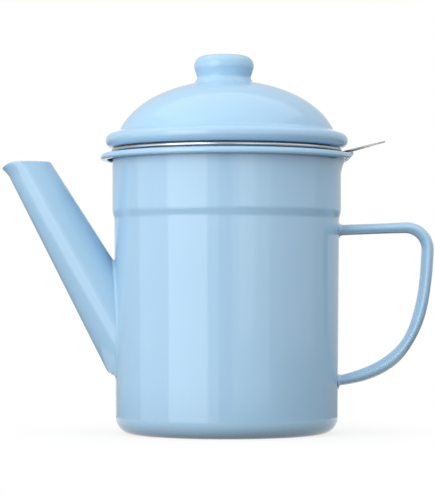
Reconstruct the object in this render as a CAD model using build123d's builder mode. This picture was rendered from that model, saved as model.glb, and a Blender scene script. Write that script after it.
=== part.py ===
from build123d import *
import os
from math import acos, asin, atan2, cos, degrees, hypot, radians, sin, sqrt

# Enamelled steel grease pot: a drawn can with a long straight spout and a tube handle welded to it,
# a lift-out stainless strainer that hangs in its mouth, and a domed lid that rests on the strainer.
# Units are millimetres. The origin is the centre of the foot, on the table. +Z is up, the spout
# points along -X and the handle along +X. Every level of the strainer follows from the pot's rim,
# and every level of the lid from the strainer's bead.

# --- sheets and the gaps between pieces that lift apart ---------------------------------------
pot_wall = 1.0            # pressed steel with its enamel on both faces
lid_wall = 1.0
knob_wall = 1.0
spout_wall = 1.0
handle_wall = 0.9
skirt_wall = 0.8
strainer_sheet = 0.6      # plain stainless sheet
mesh_cloth = 0.5          # woven wire cloth, over its knuckles
tab_sheet = 0.6
seat_gap = 0.15           # between pieces that rest on each other
collar_clearance = 1.25   # strainer collar inside the pot's mouth
skirt_clearance = 2.4     # lid skirt inside the strainer collar

# --- pot --------------------------------------------------------------------------------------
pot_foot_r = 55.34        # outer radius of the wall, carried down to the table
pot_neck_r = 56.3         # outer radius of the wall just under the shoulder
band_step = 0.95          # the band at the mouth stands out from the neck by this much
shoulder_z = 107.1        # where the wall starts to step out
shoulder_height = 3.6
shoulder_bend_r = 4.0
rim_z = 139.95            # height of the rolled rim
rim_reach = 5.95          # how far the rim stands out from the band
rim_droop = 1.0           # fall of the rim's top towards its edge
rim_height = 3.9
rim_return_length = 3.2   # the sheet turns back under the rim by this much
rim_bend_r = 1.3
rim_edge_bend_r = 1.6
beak_turn = 19.0          # the mouth is drawn out into a beak over this angle to each side of +X
beak_height = 11.0        # the wall starts to lean out this far below the rim
beak_lean = 2.95          # how far out its top has moved at the middle of the beak
beak_drop = 1.0           # and down from the plain rim
beak_run = 3.7            # length of the beak's edge, which points up and out
beak_rise = 29.0          # angle of that edge
beak_edge_height = 2.4    # the rolled edge is pressed flat to this height
beak_bend_r = 1.1
beak_sections = 9
beak_join = 0.06          # share of the wall's thickness
base_corner_r = 8.2
foot_ring_width = 12.34   # the pot stands on a flat ring this wide, rounded corner included
base_recess = 1.0         # the bottom panel is pressed up by this much
base_bend_r = 1.2

# --- spout ------------------------------------------------------------------------------------
heel_z = 29.3             # flat end where the spout leaves the pot
heel_reach = 3.3          # how far the heel stands out from the wall
heel_fillet = 2.2
crotch_z = 85.4           # where the upper edge meets the wall
spout_front_slope = 0.5056    # run along X for each unit of height
spout_back_slope = 0.642
spout_roundness = 0.867   # width over length of a level section
mouth_drop = 4.55         # the mouth lies this far below the rim
lip_arc_r = 14.2          # the front of the mouth is cut down along this arc
lip_arc_length = 9.6      # level distance from the start of that arc to the straight edge's end
lip_length = 8.0          # the lip starts to flare this far below the mouth
lip_flare_reach = 5.4     # run of the flare at the mouth's level, before the arc cuts it
port_z = 55.0             # middle of the oval port through the pot's wall
port_half_height = 20.0
port_half_width = 10.5

# --- handle -----------------------------------------------------------------------------------
handle_drop = 5.85        # upper root below the shoulder, along the middle of the tube
handle_arm_angle = 2.1    # the upper arm climbs by this angle
handle_reach = 43.85      # middle of the grip out from the pot's neck
handle_bend_r = 10.8
grip_drop = 14.9          # from the level of the arm down to where the grip starts to curve
grip_lean = 3.1           # the grip leans in towards its foot
grip_pull = 42.6          # strength of the lower curve at the grip and at the foot
foot_pull = 29.2
handle_foot_z = 26.1
handle_foot_angle = 9.8
handle_thicknesses = [5.4, 5.3, 5.35, 5.95, 6.2, 6.0, 6.05, 5.5, 6.45, 6.2, 5.1]    # upper to lower root
root_width = 14.0
grip_width = 16.0
handle_sections = 27

# --- strainer ---------------------------------------------------------------------------------
bead_reach = 2.6          # the rolled bead stands out from the collar by this much
bead_height = 2.2
bead_return_length = 1.3
bead_bend_r = 0.9
collar_depth = 13.0       # from the top of the bead to the collar's lower edge
bowl_depth = 27.5         # wire cloth bowl below the collar
clamp_height = 4.6
clamp_lift = 0.4          # the clamp ring starts this far above the collar's lower edge
tab_width = 10.0
tab_leg = 8.0             # length welded to the collar's outer face
tab_bend_r = 1.2
tab_slope = 14.2
tab_rise_reach = 0.6      # the tab turns up this far outside the bead
tab_reach = 21.4          # from the bead's edge to the end of the tab
tab_end_r = 4.5
tab_notch_clearance = 0.4

# --- lid --------------------------------------------------------------------------------------
dome_height = 33.95       # from the lid's lower edge to the top of the dome
dome_centre_drop = 0.3    # centre of the dome's ellipse below the lid's lower edge
dome_fullness = 1.9       # how far the ellipse would run outside the crease
brim_setback = 2.5        # lid's edge inside the edge of the pot's rim
brim_roll_r = 3.5
brim_return_length = 1.6
crease_reach = 1.7        # the crease lies this far outside the skirt's face
crease_fillet = 0.6
skirt_drop = 7.0          # lid skirt below the lid's lower edge
knob_shift = 1.35         # the knob is welded on this far from the lid's centre, towards the spout
knob_height = 12.65       # above the top of the dome
knob_crown = 0.55         # fall of the knob's top towards its edge
knob_flat_r = 3.0
knob_crown_r = 60.0
knob_edge_r = 5.2
knob_neck_r = 13.35
knob_neck_height = 1.2
knob_taper = 18.0         # angle of the knob's side from upright
knob_neck_bend_r = 1.6
knob_foot_reach = 1.9
knob_foot_drop = 1.9      # end of the neck's flare below the top of the dome

# --- sizes that follow ------------------------------------------------------------------------
foot_ring_r = pot_foot_r - foot_ring_width
band_r = pot_neck_r + band_step
band_bore_r = band_r - pot_wall
rim_edge_r = band_r + rim_reach
shoulder_top_z = shoulder_z + shoulder_height
rim_slope = atan2(rim_droop, rim_reach + pot_wall)
rim_crest_z = rim_z + rim_bend_r - rim_bend_r * (1 + sin(rim_slope)) / cos(rim_slope)
bore_slope = (pot_neck_r - pot_foot_r) / shoulder_z

collar_r = band_bore_r - collar_clearance
collar_bore_r = collar_r - strainer_sheet
bead_low_z = rim_crest_z + seat_gap
bead_z = bead_low_z + bead_height
bead_edge_r = collar_r + bead_reach
collar_low_z = bead_z - collar_depth
clamp_low_z = collar_low_z + clamp_lift
clamp_r = collar_bore_r - mesh_cloth
tab_top_z = bead_low_z + tab_sheet

lid_low_z = bead_z + seat_gap
brim_centre_r = rim_edge_r - brim_setback - brim_roll_r
brim_centre_z = lid_low_z + brim_roll_r
skirt_r = collar_bore_r - skirt_clearance
crease_r = skirt_r + crease_reach
dome_a = crease_r + dome_fullness
dome_b = dome_height + dome_centre_drop
dome_centre_z = lid_low_z - dome_centre_drop
dome_z = lid_low_z + dome_height
crease_z = dome_centre_z + dome_b * sqrt(1 - (crease_r / dome_a) ** 2)
# the skirt's top lies inside the dome's sheet, and is trimmed to the sheet's underside
skirt_top_z = dome_centre_z + dome_b * sqrt(1 - (skirt_r / dome_a) ** 2) - lid_wall / 4

beak_low_z = rim_z - beak_height
mouth_z = rim_z - mouth_drop
lip_z = mouth_z - lip_length


def wall_r(z):
    """Outer radius of the pot's wall below the shoulder, which widens a little towards the top."""
    return pot_foot_r + bore_slope * z


def spout_front(z):
    """How far out the spout's lower edge runs at a height, without the lip."""
    return wall_r(heel_z) + heel_reach + spout_front_slope * (z - heel_z)


def spout_back(z):
    return wall_r(crotch_z) + spout_back_slope * (z - crotch_z)


def turned(points, radii, wall):
    """Closed section of one sheet: a bent path and its copy one wall to the right of it."""
    path = FilletPolyline(*points, radius=radii)
    offset(path, amount=wall, side=Side.RIGHT)


def oval_arcs(a, b, centre_z, sweep_turn):
    """Tangent arcs from the axis along an ellipse, over a turn about its centre: up, or down if b < 0."""
    turns = [radians(sweep_turn * share) for share in (0, 0.28, 0.5, 0.68, 0.85, 1)]
    ellipse = [(a * sin(turn), centre_z + b * cos(turn)) for turn in turns]
    arcs = [TangentArc(ellipse[0], ellipse[1], tangent=(1, 0))]
    for start, end in zip(ellipse[1:], ellipse[2:]):
        arcs.append(TangentArc(start, end, tangent=arcs[-1] % 1))
    return arcs


# --- pot_body: bottom, wall, band and rolled rim from one sheet --------------------------------
pot_path = [
    (0, base_recess + pot_wall),
    (foot_ring_r - base_recess, base_recess + pot_wall),
    (foot_ring_r, pot_wall),
    (wall_r(pot_wall) - pot_wall, pot_wall),
    (pot_neck_r - pot_wall, shoulder_z),
    (band_bore_r, shoulder_top_z),
    (band_bore_r, rim_z),
    (rim_edge_r, rim_z - rim_droop),
    (rim_edge_r, rim_z - rim_height),
    (rim_edge_r - rim_return_length, rim_z - rim_height),
]
pot_bends = [
    base_bend_r,
    base_bend_r,
    base_corner_r - pot_wall,
    shoulder_bend_r,
    shoulder_bend_r,
    rim_bend_r,
    rim_edge_bend_r,
    rim_bend_r,
]

# corners of the sheet's inner face round the mouth, where it is plain and at the middle of the beak
beak_out = Vector(cos(radians(beak_rise)), sin(radians(beak_rise)))
beak_under = Vector(beak_out.Y, -beak_out.X)
beak_top = Vector(band_bore_r + beak_lean, rim_z - beak_drop)
beak_edge = beak_top + beak_out * beak_run
beak_low = beak_edge + beak_under * beak_edge_height
plain_corners = [Vector(*corner) for corner in pot_path[-4:]]
beak_corners = [beak_top, beak_edge, beak_low, beak_low - beak_out * rim_return_length]


def mouth_section(share):
    """Section of the mouth's sheet, from one side of the beak (-1) over its middle (0) to the other (1)."""
    drawn = cos(radians(90 * share)) ** 2
    corners = [plain * (1 - drawn) + beak * drawn for plain, beak in zip(plain_corners, beak_corners)]
    bends = [rim_bend_r, rim_edge_bend_r, rim_bend_r]
    bends[1:] = [bend * (1 - drawn) + beak_bend_r * drawn for bend in bends[1:]]
    lean_slope = (corners[0].X - band_bore_r) / (corners[0].Y - beak_low_z)
    start = (band_bore_r - lean_slope * pot_wall, beak_low_z - pot_wall)
    turn = radians(beak_turn * share)
    plane = Plane(origin=(0, 0, 0), x_dir=(cos(turn), sin(turn), 0), z_dir=(sin(turn), -cos(turn), 0))
    with BuildSketch(plane) as section:
        with BuildLine():
            turned([start, *[(corner.X, corner.Y) for corner in corners]], bends, pot_wall)
        make_face()
    return section.sketch


with BuildPart() as plain_pot:
    with BuildSketch(Plane.XZ):
        with BuildLine():
            turned(pot_path, pot_bends, pot_wall)
        make_face()
    revolve(axis=Axis.Z)
    with BuildSketch(Plane.YZ.offset(-wall_r(port_z) + pot_wall * 3)):
        with Locations((0, port_z)):
            Ellipse(port_half_width, port_half_height)
    extrude(amount=-pot_wall * 6, mode=Mode.SUBTRACT)
    # the plain mouth is left out where the beak takes its place
    with BuildSketch(Plane.XY.offset(beak_low_z)):
        wedge_half = 2 * rim_edge_r * sin(radians(beak_turn)) / cos(radians(beak_turn))
        Polygon((0, 0), (2 * rim_edge_r, -wedge_half), (2 * rim_edge_r, wedge_half), align=None)
    extrude(amount=2 * beak_height, mode=Mode.SUBTRACT)

with BuildPart() as beak:
    loft([mouth_section(step / (beak_sections - 1) * 2 - 1) for step in range(beak_sections)])
    split(bisect_by=Plane.XY.offset(beak_low_z), keep=Keep.TOP)
# the leaning wall is a hair thicker along the level than the upright one; the join closes over that step
with BuildPart() as pot_body:
    add(plain_pot.part.fuse(beak.part, tol=pot_wall * beak_join))

# the pot's outline as one full body, to trim what is welded to its wall
with BuildPart() as pot_core:
    with BuildSketch(Plane.XZ):
        Polygon(
            (0, 0), (wall_r(0), 0), (pot_neck_r, shoulder_z), (0, shoulder_z), align=None
        )
    revolve(axis=Axis.Z)


# --- spout: tapered oval tube, closed at the heel, with a pouring lip --------------------------
def spout_section(z, inset):
    """Level oval of the spout. The lip draws its front half out into an egg shape."""
    front = spout_front(z) - inset * hypot(1, spout_front_slope)
    back = spout_back(z) + inset * hypot(1, spout_back_slope)
    middle = (front + back) / 2
    half_width = spout_roundness * (spout_front(z) - spout_back(z)) / 2 - inset
    flare = lip_flare_reach * (max(z - lip_z, 0) / lip_length) ** 2
    with BuildSketch(Plane.XY.offset(z)) as section:
        with BuildLine():
            EllipticalCenterArc((-middle, 0), middle - back, half_width, -90, arc_size=180)
            EllipticalCenterArc(
                (-middle, 0), front + flare - middle, half_width, 90, arc_size=180
            )
        make_face()
    return section.sketch


over_mouth_z = mouth_z + spout_wall
lip_levels = [lip_z + (over_mouth_z - lip_z) * step / 4 for step in range(5)]
with BuildPart() as spout:
    loft([spout_section(heel_z, 0), spout_section(lip_z, 0)])
    fillet(spout.edges().group_by(Axis.Z)[0], radius=heel_fillet)
    loft([spout_section(z, 0) for z in lip_levels])
    with BuildPart(mode=Mode.SUBTRACT):
        loft([spout_section(heel_z + spout_wall, spout_wall), spout_section(lip_z, spout_wall)])
        loft([spout_section(z, spout_wall) for z in lip_levels])
    lip_arc_x = -(spout_front(mouth_z) - lip_arc_length)
    with BuildSketch(Plane.XZ):
        with BuildLine():
            lip_arc = CenterArc((lip_arc_x, mouth_z - lip_arc_r), lip_arc_r, 90, 75)
            Line(lip_arc @ 1, (-2 * spout_front(mouth_z), mouth_z - lip_arc_r))
            Line((-2 * spout_front(mouth_z), mouth_z - lip_arc_r), (-2 * spout_front(mouth_z), 2 * mouth_z))
            Line((-2 * spout_front(mouth_z), 2 * mouth_z), (0, 2 * mouth_z))
            Line((0, 2 * mouth_z), (0, mouth_z))
            Line((0, mouth_z), (lip_arc_x, mouth_z))
        make_face()
    extrude(amount=pot_neck_r, both=True, mode=Mode.SUBTRACT)
    add(pot_core.part, mode=Mode.SUBTRACT)


# --- handle: one oval tube, bent at the top, curving back to its lower root --------------------
arm_z = shoulder_z - handle_drop
grip_x = pot_neck_r + handle_reach
arm_climb = sin(radians(handle_arm_angle)) / cos(radians(handle_arm_angle))
lean = sin(radians(grip_lean)) / cos(radians(grip_lean))
root_depth = handle_wall * 6      # the tube is made longer inside the pot, then trimmed to its wall


def handle_thickness(share):
    """Thickness of the tube at a share of its length: a smooth curve through the listed values."""
    last = len(handle_thicknesses) - 1
    start = min(int(share * last), last - 1)
    before, here, there, after = [
        handle_thicknesses[min(max(start + step, 0), last)] for step in (-1, 0, 1, 2)
    ]
    part = share * last - start
    return (
        here
        + (there - before) * part / 2
        + (2 * before - 5 * here + 4 * there - after) * part**2 / 2
        + (3 * here - before - 3 * there + after) * part**3 / 2
    )


def handle_width(share):
    return root_width + (grip_width - root_width) * sin(radians(180 * share))


def handle_tube(inset):
    """Loft of ovals along the handle, drawn in from the outer faces by the inset."""
    sections = []
    for step in range(handle_sections):
        share = step / (handle_sections - 1)
        place = handle_wire.position_at(share)
        plane = Plane(origin=place, x_dir=(0, 1, 0), z_dir=handle_wire.tangent_at(share))
        with BuildSketch(plane) as section:
            Ellipse(handle_width(share) / 2 - inset, handle_thickness(share) / 2 - inset)
        sections.append(section.sketch)
    loft(sections)


with BuildPart() as handle:
    with BuildLine(Plane.XZ) as handle_path:
        root_x = wall_r(arm_z) - root_depth
        corner_z = arm_z + arm_climb * (grip_x - wall_r(arm_z))
        grip_z = arm_z - grip_drop
        upper = FilletPolyline(
            (root_x, arm_z - arm_climb * root_depth),
            (grip_x + lean * (corner_z - grip_z), corner_z),
            (grip_x, grip_z),
            radius=handle_bend_r,
        )
        foot_x = wall_r(handle_foot_z)
        foot_angle = radians(handle_foot_angle)
        Bezier(
            (grip_x, grip_z),
            (grip_x - grip_pull * sin(radians(grip_lean)), grip_z - grip_pull * cos(radians(grip_lean))),
            (
                foot_x + foot_pull * cos(foot_angle),
                handle_foot_z + foot_pull * sin(foot_angle),
            ),
            (foot_x, handle_foot_z),
        )
        Line(
            (foot_x, handle_foot_z),
            (foot_x - root_depth * cos(foot_angle), handle_foot_z - root_depth * sin(foot_angle)),
        )
    handle_wire = handle_path.wire()
    handle_tube(0)
    with BuildPart(mode=Mode.SUBTRACT):
        handle_tube(handle_wall)
    add(pot_core.part, mode=Mode.SUBTRACT)

# --- strainer_collar: straight collar with a rolled bead that hangs on the pot's rim -----------
bead_path = [
    (collar_bore_r, collar_low_z),
    (collar_bore_r, bead_z),
    (bead_edge_r, bead_z),
    (bead_edge_r, bead_low_z),
    (bead_edge_r - bead_return_length, bead_low_z),
]
with BuildPart() as strainer_collar:
    with BuildSketch(Plane.XZ):
        with BuildLine():
            turned(bead_path, bead_bend_r, strainer_sheet)
        make_face()
    revolve(axis=Axis.Z)
    # notch under the bead, where the tab comes out
    with BuildSketch(Plane.XY.offset(bead_low_z - seat_gap)):
        with BuildLine():
            notch_half = tab_width / 2 + tab_notch_clearance
            Polyline(
                (collar_r + bead_bend_r / 2, -notch_half),
                (2 * bead_edge_r - collar_r, -notch_half),
                (2 * bead_edge_r - collar_r, notch_half),
                (collar_r + bead_bend_r / 2, notch_half),
                close=True,
            )
        make_face()
    extrude(amount=seat_gap + tab_sheet + tab_notch_clearance / 2, mode=Mode.SUBTRACT)

# --- strainer_mesh: wire cloth bowl with an upright edge inside the collar ----------------------
with BuildPart() as strainer_mesh:
    with BuildSketch(Plane.XZ):
        with BuildLine():
            with BuildLine() as cloth:
                bowl = oval_arcs(collar_bore_r, -bowl_depth, collar_low_z, 90)
                Line(bowl[-1] @ 1, (collar_bore_r, clamp_low_z + clamp_height))
            offset(cloth.wire(), amount=mesh_cloth, side=Side.LEFT)
        make_face()
    revolve(axis=Axis.Z)

# --- strainer_clamp_ring: flat hoop that holds the cloth against the collar ---------------------
with BuildPart() as strainer_clamp_ring:
    with Locations((0, 0, clamp_low_z)):
        Cylinder(clamp_r, clamp_height, align=(Align.CENTER, Align.CENTER, Align.MIN))
        Cylinder(
            clamp_r - strainer_sheet,
            clamp_height,
            align=(Align.CENTER, Align.CENTER, Align.MIN),
            mode=Mode.SUBTRACT,
        )

# --- strainer_tab: lifting tab, spot-welded to the collar, over the rim and up -------------------
tab_start_x = bead_edge_r + tab_rise_reach
tab_end_x = bead_edge_r + tab_reach
tab_climb = sin(radians(tab_slope)) / cos(radians(tab_slope))
tab_path = [
    (collar_r, tab_top_z - tab_leg),
    (collar_r, tab_top_z),
    (tab_start_x, tab_top_z),
    (tab_end_x + tab_sheet, tab_top_z + tab_climb * (tab_end_x + tab_sheet - tab_start_x)),
]
with BuildPart() as strainer_tab:
    with BuildSketch(Plane.XZ):
        with BuildLine():
            turned(tab_path, [tab_bend_r, tab_bend_r * 2], tab_sheet)
        make_face()
    revolve(axis=Axis.Z)
    with BuildSketch(Plane.XY.offset(collar_low_z)) as tab_plan:
        with Locations((tab_end_x / 2, 0)):
            Rectangle(tab_end_x, tab_width)
        fillet(tab_plan.vertices().group_by(Axis.X)[-1], radius=tab_end_r)
    extrude(amount=lid_low_z, mode=Mode.INTERSECT)

# --- lid_shell: dome, crease and rolled brim from one sheet -------------------------------------
to_roll = hypot(brim_centre_r - crease_r, brim_centre_z - crease_z)
crease_turn = degrees(asin(crease_r / dome_a))
roll_start = (
    180
    + degrees(atan2(brim_centre_z - crease_z, brim_centre_r - crease_r))
    - degrees(acos(brim_roll_r / to_roll))
)
with BuildPart() as lid_shell:
    with BuildSketch(Plane.XZ) as lid_section:
        with BuildLine():
            with BuildLine() as lid_path:
                dome = oval_arcs(dome_a, dome_b, dome_centre_z, crease_turn)
                roll = CenterArc(
                    (brim_centre_r, brim_centre_z), brim_roll_r, roll_start, -90 - roll_start
                )
                Line(dome[-1] @ 1, roll @ 0)
                Line(roll @ 1, (brim_centre_r - brim_return_length, lid_low_z))
            offset(lid_path.wire(), amount=lid_wall, side=Side.RIGHT)
        make_face()
    revolve(axis=Axis.Z)
    crease = lid_shell.edges().filter_by(
        lambda edge: abs(edge.center().Z - crease_z) < 0.01
        and abs((edge @ 0).Z - crease_z) < 0.01
        and abs(hypot((edge @ 0).X, (edge @ 0).Y) - crease_r) < 0.01
    )
    fillet(crease, radius=crease_fillet)

# --- lid_skirt: plain hoop under the dome, which centres the lid in the strainer -----------------
with BuildPart() as lid_skirt:
    with BuildSketch(Plane.XZ):
        with Locations((skirt_r, lid_low_z - skirt_drop)):
            Rectangle(skirt_wall, skirt_top_z - lid_low_z + skirt_drop, align=(Align.MAX, Align.MIN))
        add(lid_section.face(), mode=Mode.SUBTRACT)
    revolve(axis=Axis.Z)

# --- lid_knob: hollow drawn knob welded to the top of the dome -----------------------------------
knob_top_z = dome_z + knob_height
knob_neck_z = dome_z + knob_neck_height
knob_side = sin(radians(knob_taper)) / cos(radians(knob_taper))
knob_corner_z = knob_top_z - knob_crown
knob_path = [
    (0, knob_top_z),
    (knob_flat_r, knob_top_z),
    (knob_neck_r + knob_side * (knob_corner_z - knob_neck_z), knob_corner_z),
    (knob_neck_r, knob_neck_z),
    (knob_neck_r + knob_foot_reach, dome_z - knob_foot_drop),
]
with BuildPart() as lid_knob:
    with BuildSketch(Plane.XZ.moved(Location((-knob_shift, 0, 0)))):
        with BuildLine():
            turned(knob_path, [knob_crown_r, knob_edge_r, knob_neck_bend_r], knob_wall)
        make_face()
    revolve(axis=Axis((-knob_shift, 0, 0), (0, 0, 1)))
    with Locations((0, 0, dome_z - dome[0].radius)):
        Sphere(dome[0].radius, mode=Mode.SUBTRACT)

os.makedirs("parts", exist_ok=True)
pot_body.part.label = "pot_body"
export_step(pot_body.part, "parts/pot_body.step")
spout.part.label = "spout"
export_step(spout.part, "parts/spout.step")
handle.part.label = "handle"
export_step(handle.part, "parts/handle.step")
strainer_collar.part.label = "strainer_collar"
export_step(strainer_collar.part, "parts/strainer_collar.step")
strainer_mesh.part.label = "strainer_mesh"
export_step(strainer_mesh.part, "parts/strainer_mesh.step")
strainer_clamp_ring.part.label = "strainer_clamp_ring"
export_step(strainer_clamp_ring.part, "parts/strainer_clamp_ring.step")
strainer_tab.part.label = "strainer_tab"
export_step(strainer_tab.part, "parts/strainer_tab.step")
lid_shell.part.label = "lid_shell"
export_step(lid_shell.part, "parts/lid_shell.step")
lid_skirt.part.label = "lid_skirt"
export_step(lid_skirt.part, "parts/lid_skirt.step")
lid_knob.part.label = "lid_knob"
export_step(lid_knob.part, "parts/lid_knob.step")
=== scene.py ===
from math import atan2, hypot, pi, radians

import bmesh
import bpy
import numpy as np
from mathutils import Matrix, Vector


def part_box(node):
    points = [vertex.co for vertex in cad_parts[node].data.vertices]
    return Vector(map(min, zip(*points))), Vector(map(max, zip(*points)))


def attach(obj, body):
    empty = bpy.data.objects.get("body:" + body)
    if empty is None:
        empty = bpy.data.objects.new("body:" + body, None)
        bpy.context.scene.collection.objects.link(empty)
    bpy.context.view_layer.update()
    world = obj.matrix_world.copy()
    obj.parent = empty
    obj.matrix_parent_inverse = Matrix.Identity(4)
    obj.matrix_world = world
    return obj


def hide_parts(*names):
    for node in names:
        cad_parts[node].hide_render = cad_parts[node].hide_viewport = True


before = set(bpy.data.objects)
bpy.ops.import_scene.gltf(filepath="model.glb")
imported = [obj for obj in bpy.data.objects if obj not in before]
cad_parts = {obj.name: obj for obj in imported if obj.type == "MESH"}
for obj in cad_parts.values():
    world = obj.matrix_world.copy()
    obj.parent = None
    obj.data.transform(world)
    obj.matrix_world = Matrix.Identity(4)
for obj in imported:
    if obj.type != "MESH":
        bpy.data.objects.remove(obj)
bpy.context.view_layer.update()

bl_info = {
    "name": "Enamel grease pot",
    "version": (1, 0, 0),
    "blender": (4, 5, 0),
    "location": "View3D > Sidebar > Grease pot",
    "description": "Enamelled grease pot with a spout, a handle, a lift-out strainer and a lid",
    "category": "Add Mesh",
}


# Sizes and colours ------------------------------------------------------------------------------


def length(name, description, millimetres):
    return bpy.props.FloatProperty(
        name=name,
        description=description,
        default=millimetres / 1000,
        min=0,
        unit="LENGTH",
        precision=5,
    )


def angle(name, description, degrees):
    return bpy.props.FloatProperty(
        name=name, description=description, default=radians(degrees), subtype="ANGLE"
    )


def linear(code):
    """The linear colour of an sRGB hex code."""
    srgb = np.array([int(code[i : i + 2], 16) for i in (1, 3, 5)]) / 255
    return tuple(np.where(srgb <= 0.04045, srgb / 12.92, ((srgb + 0.055) / 1.055) ** 2.4)) + (1.0,)


def colour(name, description, code):
    return bpy.props.FloatVectorProperty(
        name=name,
        description=description,
        default=linear(code),
        size=4,
        min=0,
        max=1,
        subtype="COLOR",
    )


def number(name, description, value):
    return bpy.props.FloatProperty(name=name, description=description, default=value, min=0)


def position(name, description, metres):
    """A place along an axis, which may be negative."""
    return bpy.props.FloatProperty(
        name=name, description=description, default=metres, unit="LENGTH", precision=5
    )


def top(node):
    """Highest point of a node of the frame, in millimetres."""
    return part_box(node)[1].z * 1000


def foot(node):
    """Lowest point of a node of the frame, in millimetres."""
    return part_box(node)[0].z * 1000


def far(node):
    """Furthest point of a node of the frame towards the handle, in millimetres."""
    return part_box(node)[1].x * 1000


def reach(node):
    """Radius of a round node of the frame, in millimetres."""
    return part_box(node)[1].y * 1000


class PotSizes(bpy.types.PropertyGroup):
    wall: length("Sheet", "Thickness of the enamelled sheet", 1.0)
    foot_r: length("Foot radius", "Outer radius of the wall, carried down to the table", 55.34)
    neck_r: length("Neck radius", "Outer radius of the wall under the shoulder", 56.3)
    band_step: length("Band step", "How far the band at the mouth stands out from the neck", 0.95)
    shoulder_z: length("Shoulder height", "Where the wall starts to step out", 107.1)
    shoulder_rise: length("Shoulder rise", "Height of the step", 3.6)
    rim_r: length("Rim radius", "Outer radius of the rolled rim", reach("pot_body") + 0.3)
    rim_z: length("Rim height", "Height of the rim's inner bend, before rounding", 139.95)
    rim_droop: length("Rim droop", "Fall of the rim's top towards its edge", 1.0)
    rim_height: length("Rim depth", "Height of the rolled edge", 3.9)
    rim_return: length("Rim return", "Length that turns back under the rim", 3.2)
    rim_lean: length("Rim lean", "How far the rolled edge leans out towards its foot", 0.7)
    rim_bend_r: length("Rim bends", "Radius of the rim's inner and lower bends", 1.15)
    rim_edge_bend_r: length("Rim edge bend", "Radius of the bend at the rim's edge", 1.6)
    shoulder_bend_r: length("Shoulder bends", "Radius of the two bends of the step", 6.5)
    beak_turn: angle("Beak width", "The beak spans this angle to each side of the handle", 19.0)
    beak_low_z: length("Beak foot", "Where the wall starts to lean out", 128.95)
    beak_lean: length("Beak lean", "How far out the top of the wall has moved", 2.95)
    beak_drop: length("Beak drop", "How far down it has moved from the plain rim", 1.0)
    beak_run: length("Beak edge", "Length of the beak's edge, which points up and out", 4.3)
    beak_rise: angle("Beak rise", "Angle of that edge", 29.0)
    beak_tall: length("Beak edge height", "The rolled edge is pressed flat to this height", 2.1)
    beak_bend_r: length("Beak bends", "Radius of the bends in the flattened edge", 1.02)
    corner_r: length("Bottom corner", "Radius of the corner at the foot", 8.2)
    ring_r: length("Foot ring", "Inner edge of the ring that the pot stands on", 43.0)
    recess: length("Bottom recess", "How far the bottom panel is pressed up", 1.0)
    recess_bend_r: length("Recess bends", "Radius of the bends round the bottom panel", 1.2)
    port_z: length("Port height", "Middle of the port into the spout", 55.0)
    port_tall: length("Port half height", "Half height of the oval port", 20.0)
    port_wide: length("Port half width", "Half width of the oval port", 10.5)


class SpoutSizes(bpy.types.PropertyGroup):
    wall: length("Sheet", "Thickness of the enamelled sheet", 1.0)
    heel_z: length("Heel height", "Flat end where the spout leaves the pot", foot("spout"))
    heel_reach: length("Heel reach", "How far the heel stands out from the wall", 3.3)
    heel_r: length("Heel radius", "Rounding under the heel", 2.2)
    crotch_z: length("Crotch height", "Where the upper edge meets the wall", 85.4)
    front_slope: number("Front slope", "Run out for each unit of height, lower edge", 0.5056)
    back_slope: number("Back slope", "Run out for each unit of height, upper edge", 0.642)
    roundness: number("Roundness", "Width over length of a level section", 0.867)
    mouth_z: length("Mouth height", "Level of the mouth", top("spout"))
    lip_arc_r: length("Lip arc", "The front of the mouth is cut down along this arc", 14.2)
    lip_arc_run: length("Lip arc run", "Level length of the arc", 9.6)
    lip_length: length("Lip length", "The lip starts to flare this far below the mouth", 8.0)
    lip_flare: length("Lip flare", "Run of the flare at the mouth's level", 5.4)
    weld_leg: length("Weld", "Leg of the enamelled weld along the wall", 2.2)


class HandleSizes(bpy.types.PropertyGroup):
    arm_z: length("Arm height", "Middle of the upper root", 101.25)
    arm_angle: angle("Arm climb", "The upper arm climbs by this angle", 2.1)
    grip_x: length("Grip reach", "Middle of the grip from the pot's axis", 100.15)
    grip_drop: length("Grip drop", "From the arm's level down to where the grip curves", 14.9)
    grip_lean: angle("Grip lean", "The grip leans in towards its foot", 3.1)
    bend_r: length("Bend radius", "Upper bend, along the middle of the tube", 10.8)
    grip_pull: length("Grip pull", "Strength of the lower curve at the grip", 42.6)
    foot_pull: length("Foot pull", "Strength of the lower curve at the lower root", 29.2)
    foot_z: length("Foot height", "Middle of the lower root", 26.1)
    foot_angle: angle("Foot angle", "The lower arm leaves the pot at this angle", 9.8)
    thick: bpy.props.FloatVectorProperty(
        name="Thickness",
        description="Thickness of the tube at even steps from the upper to the lower root",
        default=[t / 1000 for t in (5.4, 5.3, 5.35, 5.95, 6.2, 6.0, 6.05, 5.5, 6.45, 6.2, 5.1)],
        size=11,
        min=0,
        unit="LENGTH",
        precision=5,
    )
    root_wide: length("Root width", "Width of the tube at its roots", 14.0)
    grip_wide: length("Grip width", "Width of the tube in the grip", 16.0)
    weld_r: length("Weld", "Radius of the enamelled weld round each root", 1.8)


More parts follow.
